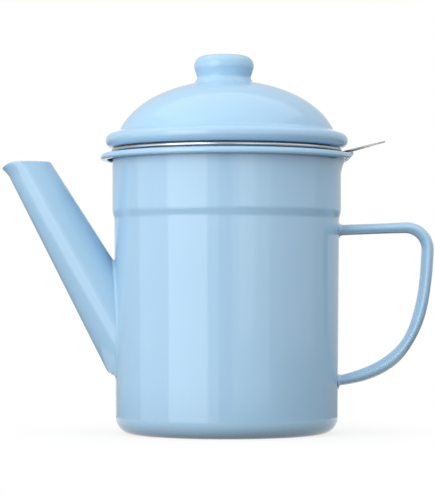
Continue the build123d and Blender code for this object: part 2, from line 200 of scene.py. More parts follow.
class StrainerSizes(bpy.types.PropertyGroup):
    sheet: length("Sheet", "Thickness of the plain stainless sheet", 0.6)
    collar_r: length("Collar radius", "Outer radius of the collar", 55.0)
    bead_r: length("Bead radius", "Outer radius of the rolled bead", reach("strainer_collar"))
    bead_z: length("Bead height", "Top of the bead", top("strainer_collar") - 0.4)
    bead_tall: length("Bead depth", "Height of the bead", 1.75)
    bead_return: length("Bead return", "Length that turns back under the bead", 1.3)
    bead_bend_r: length("Bead bends", "Radius of the bends in the bead", 0.75)
    collar_z: length("Collar foot", "Lower edge of the collar", foot("strainer_collar"))
    bowl_z: length("Bowl bottom", "Lowest point of the wire cloth bowl", foot("strainer_mesh"))
    hoop_z: length("Hoop foot", "Lower edge of the clamp hoop", foot("strainer_clamp_ring"))
    hoop_tall: length("Hoop height", "Height of the clamp hoop", 4.6)
    cloth: length("Cloth", "Thickness of the wire cloth over its knuckles", 0.5)
    wire: length("Wire", "Diameter of the cloth's wire", 0.32)
    pitch: length("Wire pitch", "Distance from wire to wire", 1.8)
    tab_wide: length("Tab width", "Width of the lifting tab", 10.0)
    tab_leg: length("Tab leg", "Length spot-welded to the collar", 8.0)
    tab_slope: angle("Tab slope", "The tab rises at this angle outside the rim", 14.2)
    tab_rise: length("Tab rise start", "The tab turns up this far outside the bead", 0.6)
    tab_bend_r: length("Tab bend", "Radius of the bend over the rim", 1.2)
    tab_end: length("Tab end", "End of the tab from the pot's axis", far("strainer_tab"))
    tab_end_r: length("Tab corner", "Rounding of the tab's end", 4.5)


class LidSizes(bpy.types.PropertyGroup):
    wall: length("Sheet", "Thickness of the enamelled sheet", 1.0)
    brim_r: length("Brim radius", "Outer radius of the rolled brim", reach("lid_shell"))
    low_z: length("Brim level", "Lowest point of the lid's brim", foot("lid_shell"))
    dome_z: length("Dome height", "Top of the dome", top("lid_shell"))
    dome_drop: length("Dome centre", "Centre of the dome's oval below the brim level", 0.3)
    fullness: length("Dome fullness", "How far the oval would run outside the crease", 1.9)
    crease_r: length("Crease radius", "Where the dome meets the brim", 53.7)
    crease_fillet: length("Crease fillet", "Rounding in the crease", 0.6)
    roll_r: length("Brim roll", "Outer radius of the roll", 3.5)
    roll_return: length("Brim return", "Length that turns back under the brim", 1.6)
    skirt_r: length("Skirt radius", "Outer radius of the plain skirt", reach("lid_skirt"))
    skirt_wall: length("Skirt sheet", "Thickness of the skirt", 0.8)
    skirt_z: length("Skirt foot", "Lower edge of the skirt", foot("lid_skirt"))
    knob_x: position(
        "Knob place",
        "The knob's axis from the pot's, along the spout and handle",
        (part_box("lid_knob")[0].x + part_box("lid_knob")[1].x) / 2,
    )
    knob_z: length("Knob height", "Top of the knob", top("lid_knob"))
    knob_wall: length("Knob sheet", "Thickness of the knob's sheet", 1.0)
    knob_flat_r: length("Knob centre", "Radius of the level middle of the knob's top", 3.0)
    knob_crown_r: length("Knob crown radius", "Radius of the bend round that middle", 60.0)
    knob_crown: length("Knob crown", "Fall of the knob's top towards its edge", 0.55)
    knob_edge_r: length("Knob edge", "Rounding of the knob's upper edge", 5.2)
    neck_r: length("Knob neck", "Radius of the knob's neck", 13.35)
    neck_rise: length("Knob neck height", "Neck above the top of the dome", 1.2)
    knob_taper: angle("Knob taper", "Angle of the knob's side from upright", 18.0)
    neck_bend_r: length("Knob neck bend", "Rounding in the neck", 1.6)
    foot_reach: length("Knob foot", "How far the neck flares out over the dome", 1.9)
    foot_drop: length("Knob foot drop", "End of the flare below the top of the dome", 1.9)


class FinishColours(bpy.types.PropertyGroup):
    enamel: colour("Enamel", "Body of the light blue enamel", "#A7CCE7")
    enamel_thick: colour("Thick enamel", "Enamel where it has run thicker", "#A1C7E3")
    steel: colour("Stainless steel", "Plain strainer sheet", "#C9CACA")
    wire: colour("Wire", "Wire cloth", "#BDBDBA")
    floor: colour("Floor", "Pale board that the pot stands on", "#F4F4F2")
    bounce: colour("Floor's bounce", "Tone of the board in the light it throws back", "#6E6E6E")


class StageSizes(bpy.types.PropertyGroup):
    camera_distance: length("Camera distance", "From the pot's axis to the camera", 1070)
    camera_z: length("Camera height", "Height of the camera", 69.5)
    aim_x: position("Aim sideways", "Where the camera aims, across", -0.0046)
    aim_z: length("Aim height", "Where the camera aims, up", 92.6)
    lens: number("Lens", "Focal length in millimetres for a frame 36 mm tall", 155.6)
    lamp_distance: length("Lamp distance", "From the pot's middle to each softbox", 1400)
    lamp_aim_z: length("Pot's middle", "Height that the softboxes face", 90)
    board_r: length("Board", "Radius of the round board that the pot stands on", 150)
    key: number("Key", "Wide softbox to the left", 0.8)
    core: number("Core", "Hot middle of the key's softbox", 1.6)
    high: number("High", "Softbox above the core", 2.9)
    strip: number("Strip", "Low softbox right of the camera", 0.72)
    spot: number("Spot", "Hot middle of the strip", 0.6)
    fill: number("Fill", "Softbox to the right", 0.35)
    overhead: number("Overhead", "Softbox over the pot", 0.66)
    room: number("Room", "The studio's walls", 0.68)
    room_low: number("Room below", "The studio below the board", 0.2)


GROUPS = {
    "pot_sizes": PotSizes,
    "spout_sizes": SpoutSizes,
    "handle_sizes": HandleSizes,
    "strainer_sizes": StrainerSizes,
    "lid_sizes": LidSizes,
    "finish_colours": FinishColours,
    "stage_sizes": StageSizes,
}


# Surfaces ---------------------------------------------------------------------------------------

SUPPORT = 0.0003  # the support points of a straight run stand this far from its ends, in metres
ON_AXIS = 1e-6  # an outline that starts this close to the axis closes on itself, in metres
MERGE = 2e-6  # points closer than this are one, in metres
SUNK = 0.0004  # a piece reaches this far into one that it is welded to, in metres


def unit(vectors):
    """Vectors of the same direction and of length 1."""
    return vectors / np.linalg.norm(vectors, axis=-1, keepdims=True)


def points(x, y, z):
    """Points from three coordinates, each of them a number or an array that fits the others."""
    return np.stack(np.broadcast_arrays(x, y, z), -1)


def full_turn(steps):
    """Angles at even steps once round."""
    return np.linspace(0, 2 * pi, steps, endpoint=False)


def bent(corners, bend_radii, steps=9):
    """Path of straight runs whose corners are arcs: each arc touches both runs at r / tan(half the
    corner's angle) from the corner, and turns about a centre r / sin(half) along the bisector. Two
    support points close to the ends of each run let smooth shading keep it straight."""
    corners = [np.array(corner, float) for corner in corners]
    arcs = [corners[0][None]]
    for before, corner, after, r in zip(corners, corners[1:], corners[2:], bend_radii):
        back, on = unit(before - corner), unit(after - corner)
        half = np.arccos(np.clip(back @ on, -1, 1)) / 2
        centre = corner + unit(back + on) * r / np.sin(half)
        start, end = corner + back * r / np.tan(half), corner + on * r / np.tan(half)
        a = atan2(*(start - centre)[::-1])
        turn = (atan2(*(end - centre)[::-1]) - a + pi) % (2 * pi) - pi
        around = a + turn * np.linspace(0, 1, steps)
        arcs.append(centre + r * np.stack([np.cos(around), np.sin(around)], 1))
    arcs.append(corners[-1][None])
    path = arcs[:1]
    for one, two in zip(arcs, arcs[1:]):
        run = two[0] - one[-1]
        close = run * min(SUPPORT / hypot(*run), 1 / 3)
        path += [[one[-1] + close, two[0] - close], two]
    return np.concatenate(path)


def sides(path):
    """Unit normals to the right of an open path: at each point the mean of its two runs' normals,
    lengthened by 1 / cos(half the turn), so that an offset keeps its distance from both runs."""
    runs = unit(np.diff(path, axis=0))
    normals = np.stack([runs[:, 1], -runs[:, 0]], 1)
    first, second = np.vstack([normals[:1], normals]), np.vstack([normals, normals[-1:]])
    mean = first + second
    return 2 * mean / np.sum(mean * mean, axis=1, keepdims=True)


def sheet_outline(path, wall, steps=7):
    """Outline of a sheet: the path, then its copy one wall to the right, joined by half circles.
    A start on the axis stays open, because it closes on itself when the outline is turned."""
    other = path + sides(path) * wall
    turn = np.linspace(0, pi, steps)[1:-1, None]

    def cap(one, two, outwards):
        middle, half = (one + two) / 2, (one - two) / 2
        return middle + half * np.cos(turn) + outwards * wall / 2 * np.sin(turn)

    outline = [path, cap(path[-1], other[-1], unit(path[-1] - path[-2])), other[::-1]]
    if path[0, 0] > ON_AXIS:
        outline.append(cap(other[0], path[0], unit(path[0] - path[1])))
    return np.concatenate(outline)


def spun(outline, segments=192):
    """Surface of revolution: a point (r, z) of the outline, turned by a, lies at (r cos a,
    r sin a, z)."""
    a = full_turn(segments)[:, None]
    r, z = outline.T
    return points(r * np.cos(a), r * np.sin(a), z)


def upright_hoop(bore, low, high, wall):
    """Plain hoop of sheet with rounded edges."""
    return spun(sheet_outline(bent([(bore, low), (bore, high)], []), wall, steps=5))


def capped(tube, middles):
    """A tube closed by a row at each end whose points all lie at that end's middle."""
    ends = middles + 0 * tube[:1]
    return np.concatenate([ends[:1], tube, ends[1:]])


def through(values, share):
    """A smooth curve through even steps of values: between two of them a cubic whose slope at each
    is half the difference of its two neighbours."""
    last = len(values) - 1
    start = np.clip((share * last).astype(int), 0, last - 1)
    before, here, there, after = (values[np.clip(start + step, 0, last)] for step in (-1, 0, 1, 2))
    t = share * last - start
    return (
        here
        + (there - before) * t / 2
        + (2 * before - 5 * here + 4 * there - after) * t**2 / 2
        + (3 * here - before - 3 * there + after) * t**3 / 2
    )


def grid_faces(grid, close):
    """Faces between the neighbours in a grid of points, rows by columns. The rows and the columns
    close on themselves where asked."""
    rows, columns = grid.shape[:2]
    index = np.arange(rows * columns).reshape(rows, columns)
    down = np.vstack([index, index[:1]]) if close[0] else index
    both = np.hstack([down, down[:, :1]]) if close[1] else down
    faces = np.stack([both[:-1, :-1], both[1:, :-1], both[1:, 1:], both[:-1, 1:]], -1)
    return faces.reshape(-1, 4).tolist()


def solid(name, grid, faces):
    """Object of the grid's points. Those that coincide at a pole or seam are merged, and the faces
    are turned outwards."""
    mesh = bpy.data.meshes.new(name)
    mesh.from_pydata(grid.reshape(-1, 3).tolist(), [], faces)
    work = bmesh.new()
    work.from_mesh(mesh)
    bmesh.ops.remove_doubles(work, verts=work.verts, dist=MERGE)
    bmesh.ops.recalc_face_normals(work, faces=work.faces)
    work.to_mesh(mesh)
    work.free()
    made = bpy.data.objects.new(name, mesh)
    bpy.context.scene.collection.objects.link(made)
    return made


def piece(name, grid, material, body, nodes=(), slot="enamel", close=(True, True)):
    """A finished piece whose faces join neighbouring points of a grid."""
    return finished(solid(name, grid, grid_faces(grid, close)), material, body, nodes)


def finished(made, material, body, nodes=()):
    """Smooths a piece, gives it its material and hands it to the frame."""
    made.data.shade_smooth()
    made.data.materials.append(material)
    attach(made, body)
    if nodes:
        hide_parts(*nodes)
    return made


def cut(made, grid):
    """Takes a bar out of a piece: the two rows of the grid are the outlines of its ends."""
    columns = grid.shape[1]
    ends = [list(range(columns)), list(range(columns, 2 * columns))]
    cutter = solid("cutter", grid, grid_faces(grid, (False, True)) + ends)
    step = made.modifiers.new("cut", "BOOLEAN")
    step.object, step.operation, step.solver = cutter, "DIFFERENCE", "EXACT"
    seen = made.evaluated_get(bpy.context.evaluated_depsgraph_get())
    result = bpy.data.meshes.new_from_object(seen)
    made.modifiers.clear()
    made.data = result
    bpy.data.objects.remove(cutter)


# Finishes ---------------------------------------------------------------------------------------


def add_node(tree, kind, inputs=(), **settings):
    """A node with its settings, and its inputs set to values or linked from sockets."""
    made = tree.nodes.new(kind)
    for name, value in settings.items():
        setattr(made, name, value)
    for name, value in dict(inputs).items():
        if isinstance(value, bpy.types.NodeSocket):
            tree.links.new(value, made.inputs[name])
        else:
            made.inputs[name].default_value = value
    return made


def noise(tree, place, scale, detail):
    """Noise from 0 to 1 whose grains measure about 1 / scale."""
    inputs = {"Vector": place, "Scale": scale, "Detail": detail}
    return add_node(tree, "ShaderNodeTexNoise", inputs).outputs["Fac"]


def mapped(tree, value, before=(0.0, 1.0), after=(0.0, 1.0), **settings):
    """A value carried over from the range before to the range after, and held inside it."""
    ends = zip(("From Min", "From Max", "To Min", "To Max"), (*before, *after))
    inputs = {"Value": value, **dict(ends)}
    return add_node(tree, "ShaderNodeMapRange", inputs, **settings).outputs["Result"]


def bumped(tree, height, depth, strength=1.0, **normal):
    """The surface's normal, or the given one, tilted by a height of up to the depth in metres."""
    inputs = {"Height": height, "Strength": strength, "Distance": depth, **normal}
    return add_node(tree, "ShaderNodeBump", inputs).outputs["Normal"]


def maths(tree, operation, one, other, **settings):
    """The result of an operation on two values."""
    inputs = {0: one, 1: other}
    return add_node(tree, "ShaderNodeMath", inputs, operation=operation, **settings).outputs[0]


def blended(tree, share, one, other):
    """A colour that turns from one into the other by a share from 0 to 1."""
    inputs = {"Factor": share, "A": one, "B": other}
    return add_node(tree, "ShaderNodeMix", inputs, data_type="RGBA").outputs["Result"]


def surface(tree, inputs):
    """Ends a material's tree with a principled shader that has these inputs."""
    shader = add_node(tree, "ShaderNodeBsdfPrincipled", inputs)
    add_node(tree, "ShaderNodeOutputMaterial", {"Surface": shader.outputs["BSDF"]})


def two_surfaces(tree, end, share, one, other):
    """Ends a tree with a mix that turns from one shader into the other by a share."""
    inputs = {0: share, 1: one.outputs[0], 2: other.outputs[0]}
    both = add_node(tree, "ShaderNodeMixShader", inputs)
    add_node(tree, end, {"Surface": both.outputs[0]})


def new_material(name):
    """The material of that name and its empty tree, or no tree where it is already made."""
    material = bpy.data.materials.get(name)
    if material:
        return material, None
    material = bpy.data.materials.new(name)
    material.use_nodes = True
    material.node_tree.nodes.clear()
    return material, material.node_tree


def vitreous_enamel():
    """Vitreous enamel on drawn steel: powdered glass, dipped and fired. It is glossy like glass,
    smooth with a slow wave where it ran, and a little deeper in colour where it lies thicker."""
    material, tree = new_material("vitreous_enamel_light_blue")
    if tree is None:
        return material
    tones = bpy.context.scene.finish_colours
    place = add_node(tree, "ShaderNodeTexCoord").outputs["Object"]
    # the coat's thickness drifts over about 40 mm
    drift = noise(tree, place, scale=25.0, detail=2.0)
    tone = blended(tree, drift, tones.enamel, tones.enamel_thick)
    # waves of about 30 mm from the drawn sheet, a few hundredths of a millimetre deep
    waved = bumped(tree, noise(tree, place, scale=32.0, detail=1.0), depth=0.00012)
    # orange peel of fired enamel, grains of about 1.5 mm
    peel = noise(tree, place, scale=650.0, detail=1.0)
    peeled = bumped(tree, peel, depth=0.000004, Normal=waved)
    surface(tree, {"Base Color": tone, "Roughness": 0.07, "IOR": 1.52, "Normal": peeled})
    return material


def brushed_stainless():
    """Austenitic stainless sheet, brushed round the hoop: bright grey with fine level lines."""
    material, tree = new_material("stainless_sheet_brushed")
    if tree is None:
        return material
    tones = bpy.context.scene.finish_colours
    place = add_node(tree, "ShaderNodeTexCoord").outputs["Object"]
    # lines about 0.17 mm apart in height, coarser than real brushing, drawn out along the hoop
    stretched = add_node(
        tree, "ShaderNodeMapping", {"Vector": place, "Scale": (60.0, 60.0, 6000.0)}
    )
    lines = noise(tree, stretched.outputs["Vector"], scale=1.0, detail=2.0)
    rough = mapped(tree, lines, after=(0.2, 0.34))
    brushed = bumped(tree, lines, depth=0.00001, strength=0.25)
    look = {"Base Color": tones.steel, "Metallic": 1.0, "Roughness": rough, "Normal": brushed}
    surface(tree, look)
    return material


def drawn_wire():
    """Drawn stainless wire, woven: bright, a little soft from the die, darker down in the weave."""
    material, tree = new_material("stainless_wire_drawn")
    if tree is None:
        return material
    tones = bpy.context.scene.finish_colours
    place = add_node(tree, "ShaderNodeTexCoord").outputs["Object"]
    # handling marks of about 5 mm
    marks = noise(tree, place, scale=200.0, detail=2.0)
    rough = mapped(tree, marks, after=(0.22, 0.38))
    surface(tree, {"Base Color": tones.wire, "Metallic": 1.0, "Roughness": rough})
    return material


# Pieces -----------------------------------------------------------------------------------------


def wall_r(z):
    """Outer radius of the pot's wall at a height: it widens evenly from the foot to the neck."""
    s = bpy.context.scene.pot_sizes
    return s.foot_r + (s.neck_r - s.foot_r) * z / s.shoulder_z


class POT_OT_can(bpy.types.Operator):
    """Bottom, wall, raised band and rolled rim from one sheet, with the port into the spout"""

    bl_idname = "grease_pot.can"
    bl_label = "Can"

    def execute(self, context):
        s = context.scene.pot_sizes
        band = s.neck_r + s.band_step - s.wall
        low = s.rim_z - s.rim_height
        plain = self.outline(
            s,
            [
                (band, s.rim_z),
                (s.rim_r - s.rim_lean, s.rim_z - s.rim_droop),
                (s.rim_r, low),
                (s.rim_r - s.rim_return, low),
            ],
            [s.rim_bend_r, s.rim_edge_bend_r, s.rim_bend_r],
        )
        out = np.array([np.cos(s.beak_rise), np.sin(s.beak_rise)])
        under = np.array([out[1], -out[0]])
        lip = np.array([band + s.beak_lean, s.rim_z - s.beak_drop])
        edge = lip + out * s.beak_run
        hem = edge + under * s.beak_tall
        drawn = self.outline(
            s,
            [lip, edge, hem, hem - out * s.rim_return],
            [s.rim_bend_r, s.beak_bend_r, s.beak_bend_r],
        )
        # round the mouth each point goes from its plain place to its place in the beak by a share
        # w = cos squared (90 degrees x turn / the beak's half width), and 0 outside the beak
        sections = 288
        a = full_turn(sections)[:, None] - pi
        w = np.cos(np.clip(a / s.beak_turn, -1, 1) * pi / 2) ** 2
        r = plain[:, 0] * (1 - w) + drawn[:, 0] * w
        z = plain[:, 1] * (1 - w) + drawn[:, 1] * w
        sheet = points(r * np.cos(a), r * np.sin(a), z)
        can = piece("pot_can", sheet, vitreous_enamel(), "pot", ["pot_body"], close=(True, False))
        # the oval port behind the spout, cut by a bar that stands out by a few walls on both sides
        turn = full_turn(steps=48)
        bar_end = 3 * s.wall
        x = np.array([[-bar_end], [bar_end]]) - wall_r(s.port_z)
        y, z = s.port_wide * np.cos(turn), s.port_z + s.port_tall * np.sin(turn)
        cut(can, points(x, y, z))
        return {"FINISHED"}

    def outline(self, s, mouth, mouth_bends):
        """Outline of the can's sheet from the bottom's middle to the mouth. Above the beak's foot a
        wall that leans out by l is drawn in again by l (v - v to the power 1.4), where v is the
        share of its height, so that it curves out."""
        band = s.neck_r + s.band_step - s.wall
        path = bent(
            [
                (0, s.recess + s.wall),
                (s.ring_r - s.recess, s.recess + s.wall),
                (s.ring_r, s.wall),
                (wall_r(s.wall) - s.wall, s.wall),
                (s.neck_r - s.wall, s.shoulder_z),
                (band, s.shoulder_z + s.shoulder_rise),
                (band, s.beak_low_z),
            ],
            [s.recess_bend_r] * 2 + [s.corner_r - s.wall] + [s.shoulder_bend_r] * 2,
        )
        # the first bend's arc and all after it, past the start and its run's two support points
        over = bent([path[-1], *mouth], mouth_bends)[3:]
        wall_steps = 12
        along = np.linspace(0, 1, wall_steps, endpoint=False)[1:, None]
        wall = path[-1] * (1 - along) + over[0] * along
        v = (wall[:, 1] - s.beak_low_z) / (mouth[0][1] - s.beak_low_z)
        wall[:, 0] -= (mouth[0][0] - band) * (v - v**1.4)
        return sheet_outline(np.vstack([path, wall, over]), s.wall)


def spout_skin(s, inset, around):
    """Level ovals stacked up the spout, as points for each level and turn. The heel is a quarter
    round between a flat end and the straight stem: height heel + r (1 - cos q), inset
    r (1 - sin q). The lip adds flare (rise / length) squared to the front half of each oval above
    its start."""
    flat_rows, round_rows, stem_rows = 60, 80, 460
    # the heel's least rounding, how far inside its edge the flat end starts, and how far the stem
    # runs on over the mouth, where it is cut
    least_r, flat_inset, past_mouth = 0.0004, 0.009, 0.001
    r = max(s.heel_r - inset, least_r)
    q = np.linspace(0, pi / 2, round_rows)
    low = s.heel_z + inset
    stem = np.linspace(low + r, s.mouth_z + past_mouth, stem_rows)
    z = np.concatenate([np.full(flat_rows, low), low + r * (1 - np.cos(q)), stem])[:, None]
    flat = np.linspace(flat_inset, r, flat_rows)
    extra = np.concatenate([flat, r * (1 - np.sin(q)), 0 * stem])[:, None] + inset
    front_edge = wall_r(s.heel_z) + s.heel_reach + s.front_slope * (z - s.heel_z)
    back_edge = wall_r(s.crotch_z) + s.back_slope * (z - s.crotch_z)
    front = front_edge - extra * hypot(1, s.front_slope)
    back = back_edge + extra * hypot(1, s.back_slope)
    middle = (front + back) / 2
    wide = s.roundness * (front_edge - back_edge) / 2 - extra
    rise = np.maximum(z - (s.mouth_z - s.lip_length), 0) / s.lip_length
    front = front + s.lip_flare * rise**2
    out = np.cos(around)
    long = np.where(out > 0, front - middle, middle - back)
    return points(-(middle + long * out), wide * np.sin(around), z)


def spout_band(s, skin, buried, rows):
    """The part of a skin from the pot's wall, or from as deep in it as it is buried, to the cut of
    the mouth, in evenly spaced rows. At each turn it starts at the last crossing of the wall and
    ends at the first crossing of the cut, which is level behind and an arc down to the front."""
    x, y, z = np.moveaxis(skin, -1, 0)
    outside = np.hypot(x, y) - wall_r(z) + buried
    inside_last = len(skin) - 1 - np.argmax(outside[::-1] < 0, axis=0)
    inside_last = np.where((outside < 0).any(axis=0), inside_last, 0)
    front_r = wall_r(s.heel_z) + s.heel_reach + s.front_slope * (s.mouth_z - s.heel_z)
    run = np.clip(s.lip_arc_run - front_r - x, 0, s.lip_arc_r)
    # the rounded edge stands up above the cut by less than half a sheet, because the skin leans
    edge_rise = 0.4 * s.wall
    ceiling = s.mouth_z - edge_rise - s.lip_arc_r + np.sqrt(s.lip_arc_r**2 - run**2)
    above_first = np.argmax(z > ceiling, axis=0)

    def crossing(values, row):
        one = np.take_along_axis(values, row[None], 0)[0]
        two = np.take_along_axis(values, row[None] + 1, 0)[0]
        return row + np.clip(one / (one - two), 0, 1)

    start = crossing(outside, inside_last)
    end = crossing(z - ceiling, above_first - 1)
    at = start + (end - start) * np.linspace(0, 1, rows)[:, None]
    row = np.minimum(at.astype(int), len(skin) - 2)[..., None]
    part = at[..., None] - row
    one, two = (np.take_along_axis(skin, row + step, 0) for step in (0, 1))
    return one * (1 - part) + two * part


class POT_OT_spout(bpy.types.Operator):
    """Tapered oval spout with a flared lip, and its enamelled weld along the wall"""

    bl_idname = "grease_pot.spout"
    bl_label = "Spout"

    def execute(self, context):
        s = context.scene.spout_sizes
        around = full_turn(steps=128)
        outer_rows, inner_rows, curve_steps = 110, 60, 9
        skin = spout_skin(s, 0, around)
        outer = spout_band(s, skin, SUNK, outer_rows)
        # the inner skin ends less deep in the wall, so the tube's end slopes
        inner = spout_band(s, spout_skin(s, s.wall, around), SUNK / 4, inner_rows)[::-1]
        # the mouth's edge is a half circle from the outer to the inner skin
        turn = np.linspace(0, pi, curve_steps)[1:-1, None, None]
        middle, half = (outer[-1] + inner[0]) / 2, (outer[-1] - inner[0]) / 2
        up = unit(outer[-1] - outer[-2]) * np.linalg.norm(half, axis=-1, keepdims=True)
        edge = middle + half * np.cos(turn) + up * np.sin(turn)
        tube = np.concatenate([outer, edge, inner])
        piece("spout_tube", tube, vitreous_enamel(), "pot", ["spout"])
        # weld: a hollow curve from the wall to the spout, with the joint as its middle control
        # point: (1 - t)^2 wall + 2 t (1 - t) joint + t^2 spout
        joint, above = spout_band(s, skin, 0, outer_rows)[:2]
        along = unit(np.roll(joint, -1, 0) - np.roll(joint, 1, 0))
        radial = unit(joint * [1, 1, 0])
        away = np.cross(radial, along)
        away = away * np.sign(np.sum(away * (joint - joint.mean(0)), -1, keepdims=True))
        on_wall = joint + unit(away) * s.weld_leg
        # points on the wall follow its curve
        x, y, z = on_wall.T
        shrink = wall_r(z) / np.hypot(x, y)
        on_wall = points(x * shrink, y * shrink, z)
        on_spout = joint + unit(above - joint) * s.weld_leg
        t = np.linspace(0, 1, curve_steps)[:, None, None]
        curve = (1 - t) ** 2 * on_wall + 2 * t * (1 - t) * joint + t**2 * on_spout
        under = (joint - radial * SUNK)[None]
        piece("spout_weld", np.concatenate([curve, under]), vitreous_enamel(), "pot")
        return {"FINISHED"}


class POT_OT_handle(bpy.types.Operator):
    """Oval tube handle, bent at the top, with an enamelled weld round each root"""

    bl_idname = "grease_pot.handle"
    bl_label = "Handle"

    def execute(self, context):
        s = context.scene.handle_sizes
        # both ends reach this far into the wall
        buried = 1.5 * SUNK
        # the middle line is drawn fine and then cut into fewer sections, closer near the roots
        bend_steps, curve_steps, sections, crowding = 800, 3000, 280, 0.12
        # middle line: straight arm, arc, and a cubic curve back to the lower root
        arm_r, foot_r = wall_r(s.arm_z), wall_r(s.foot_z)
        climb, lean = np.tan(s.arm_angle), np.tan(s.grip_lean)
        corner_z = s.arm_z + climb * (s.grip_x - arm_r)
        grip_z = s.arm_z - s.grip_drop
        upper = bent(
            [
                (arm_r - buried, s.arm_z - climb * buried),
                (s.grip_x + lean * (corner_z - grip_z), corner_z),
                (s.grip_x, grip_z),
            ],
            [s.bend_r],
            steps=bend_steps,
        )
        t = np.linspace(0, 1, curve_steps)[:, None]
        down = np.array([-np.sin(s.grip_lean), -np.cos(s.grip_lean)]) * s.grip_pull
        out = np.array([np.cos(s.foot_angle), np.sin(s.foot_angle)])
        start, end = np.array([s.grip_x, grip_z]), np.array([foot_r, s.foot_z])
        lower = (1 - t) ** 3 * start + 3 * (1 - t) ** 2 * t * (start + down)
        lower = lower + 3 * (1 - t) * t**2 * (end + out * s.foot_pull) + t**3 * end
        line = np.vstack([upper[:-1], lower, end - out * buried])
        gone = np.concatenate([[0], np.cumsum(np.linalg.norm(np.diff(line, axis=0), axis=1))])
        share = np.linspace(0, 1, sections)
        share = share - crowding * np.sin(2 * pi * share)
        line = np.stack([np.interp(share * gone[-1], gone, line[:, i]) for i in (0, 1)], 1)
        thick = through(np.array(s.thick), share)
        wide = s.root_wide + (s.grip_wide - s.root_wide) * np.sin(pi * share)
        tangent = unit(np.gradient(line, axis=0))
        normal = points(-tangent[:, 1], 0, tangent[:, 0])[:, None]
        middle = points(line[:, 0], 0, line[:, 1])[:, None]
        across = np.array([0, 1, 0])
        around = full_turn(steps=56)[None, :, None]
        half_t, half_w = thick[:, None, None] / 2, wide[:, None, None] / 2
        skin = middle + normal * half_t * np.cos(around) + across * half_w * np.sin(around)
        # weld: a quarter-round hollow, so each point moves out by r - sqrt(r^2 - (r - d)^2) where
        # d, its distance from the wall, is under r
        away = unit(normal * half_w * np.cos(around) + across * half_t * np.sin(around))
        d = np.hypot(skin[..., 0], skin[..., 1]) - wall_r(skin[..., 2])
        short = np.clip(s.weld_r - np.clip(d, 0, None), 0, None)
        skin = skin + away * (s.weld_r - np.sqrt(s.weld_r**2 - short**2))[..., None]
        skin = capped(skin, middle[[0, -1]])
        piece("handle_tube", skin, vitreous_enamel(), "pot", ["handle"], close=(False, True))
        return {"FINISHED"}


